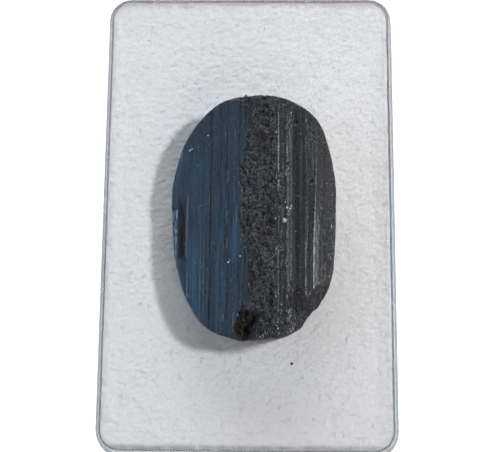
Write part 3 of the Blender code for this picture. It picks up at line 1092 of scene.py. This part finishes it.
def clear_material():
    """Clear plastic. Its rim carries painted reflections: bluish right, purple far off, grey near."""
    nodes = Nodes("polystyrene_clear")
    x, y, z = nodes.axes()[:3]
    marks = nodes.noise((1, 1, 0.3), 0.8, 3.0)
    rim = nodes.range(z, 10.4, 11.2)
    right = nodes.times(nodes.range(x, 17.0, 19.0), nodes.range(y, 12.0, 4.0))
    far, near = nodes.range(y, 28.5, 31.0), nodes.range(y, -29.5, -31.0)
    # Painted reflections on the rim: the blue window on the right, dark surroundings far off and near.
    colour = nodes.mix(nodes.times(right, rim), (0.67, 0.68, 0.7), (0.66, 0.75, 0.84))
    colour = nodes.mix(nodes.times(far, rim), colour, (0.655, 0.618, 0.635))
    colour = nodes.mix(nodes.times(near, rim), colour, (0.55, 0.56, 0.58))
    look = {"Transmission_Weight": 0.8, "IOR": POLYSTYRENE_IOR}
    gloss = nodes.range(marks, 0.4, 0.75, 0.16, 0.3)
    return nodes.finish(Base_Color=colour, Roughness=gloss, **look)


# -------------------- stage, light and camera


def build_floor():
    bpy.ops.mesh.primitive_circle_add(vertices=96, radius=FLOOR_RADIUS, fill_type="NGON")
    floor = bpy.context.object
    floor.name = "floor"
    nodes = Nodes("floor_paper")
    tone = nodes.noise((1, 1, 1), 0.02)
    colour = nodes.mix(tone, (0.49, 0.49, 0.49), (0.51, 0.51, 0.51))
    glow = {"Emission_Color": (1, 1, 1, 1), "Emission_Strength": 0.93}
    floor.data.materials.append(nodes.finish(Base_Color=colour, Roughness=0.9, **glow))


def build_light(name, azimuth, elevation, distance, size, radiance, colour):
    """A rectangular area light that faces the crystal."""
    a, e = math.radians(azimuth), math.radians(elevation)
    away = Vector((math.cos(a) * math.cos(e), math.sin(a) * math.cos(e), math.sin(e)))
    data = bpy.data.lights.new(name, "AREA")
    data.shape = "RECTANGLE"
    data.size, data.size_y = size
    data.energy = radiance * math.pi * size[0] * size[1]
    data.color = colour
    lamp = bpy.data.objects.new(name, data)
    lamp.location = Vector((0, 0, BASE_Z * MM)) + away * distance
    lamp.rotation_euler = away.to_track_quat("Z", "Y").to_euler()
    bpy.context.scene.collection.objects.link(lamp)


def build_world():
    world = bpy.data.worlds.new("studio")
    bpy.context.scene.world = world
    world.use_nodes = True
    tree = world.node_tree
    place = tree.nodes.new("ShaderNodeTexCoord")
    split = tree.nodes.new("ShaderNodeSeparateXYZ")
    tone = tree.nodes.new("ShaderNodeMapRange")
    for socket, value in zip(tone.inputs[1:5], SKY_HEIGHTS + SKY_BRIGHTNESS):
        socket.default_value = value
    tree.links.new(place.outputs[0], split.inputs[0])
    tree.links.new(split.outputs[2], tone.inputs[0])
    tree.links.new(tone.outputs[0], tree.nodes["Background"].inputs[0])


def build_camera():
    """The photograph's camera, fitted to the four sides of the tray."""
    tilt = math.radians(CAMERA_TILT)
    forward = Vector((0, math.sin(tilt), -math.cos(tilt)))
    up = Vector((0, math.cos(tilt), math.sin(tilt)))
    pan = Matrix.Rotation(math.radians(CAMERA_PAN), 3, up)
    forward, right = pan @ forward, pan @ Vector((1, 0, 0))
    roll = Matrix.Rotation(math.radians(CAMERA_ROLL), 3, forward)
    right, up = roll @ right, roll @ up
    data = bpy.data.cameras.new("camera")
    data.sensor_width, data.lens, data.clip_start = CAMERA_SENSOR, CAMERA_LENS, MM
    camera = bpy.data.objects.new("camera", data)
    camera.matrix_world = Matrix((right, up, -forward)).transposed().to_4x4()
    camera.location = Vector(CAMERA_PLACE) * MM
    bpy.context.scene.collection.objects.link(camera)
    bpy.context.scene.camera = camera


# -------------------- the scene


def values_of(items, key, kind=np.int32):
    """One property of all the items, as an array."""
    values = np.empty(len(items), kind)
    items.foreach_get(key, values)
    return values


def assign_by_mask(piece, base, masked):
    """Gives every face the base material, then each (mask names, material) where a mask is set."""
    mesh = piece.data
    corners = values_of(mesh.loops, "vertex_index")
    starts, sizes = values_of(mesh.polygons, "loop_start"), values_of(mesh.polygons, "loop_total")
    chosen = np.zeros(len(mesh.polygons), np.int32)
    mesh.materials.append(base)
    for index, (keys, material) in enumerate(masked, start=1):
        masks = [values_of(mesh.attributes[key].data, "value", np.float32) for key in keys]
        mask = np.max(masks, axis=0)
        chosen[np.add.reduceat(mask[corners], starts) / sizes > 0.5] = index
        mesh.materials.append(material)
    mesh.polygons.foreach_set("material_index", chosen)


bpy.context.scene.view_settings.view_transform = "Standard"
build_camera()
build_world()
build_floor()
for light in LIGHTS:
    build_light(*light)

crystal = build_crystal()
granular = (("rough", "stain_and_pit_shade"), granular_material())
glossy = (("gloss",), glossy_material())
broken = (("chip", "wall"), broken_material())
assign_by_mask(crystal, tourmaline_material(), [granular, glossy, broken])
pad = build_pad()
foam = foam_material()
pad.data.materials.append(foam)

crystal_cast, pad_cast = Cast(crystal), Cast(pad)
flake = plain_material("mineral_pale", (0.4, 0.4, 0.41), (0.7, 0.7, 0.72), 0.35)
build_crumbs("crystal_flakes", crystal_cast, FLAKES, flake, 71)
dark = plain_material("mineral_dark", (0.01, 0.01, 0.01), (0.05, 0.045, 0.04), 0.5)
build_crumbs("crystal_crumbs", crystal_cast, DARK_CRUMBS, dark, 72)
build_crumbs("pad_crumbs", pad_cast, PAD_CRUMBS, dark, 73)
lint = plain_material("lint_grey", (0.16, 0.16, 0.165), (0.24, 0.24, 0.25), 0.8)
build_lint("crystal_lint", crystal_cast, LINT, lint)

build_fibres(pad_cast, foam)

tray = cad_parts["tray"]
tray.data.materials.clear()
tray.data.materials.append(clear_material())
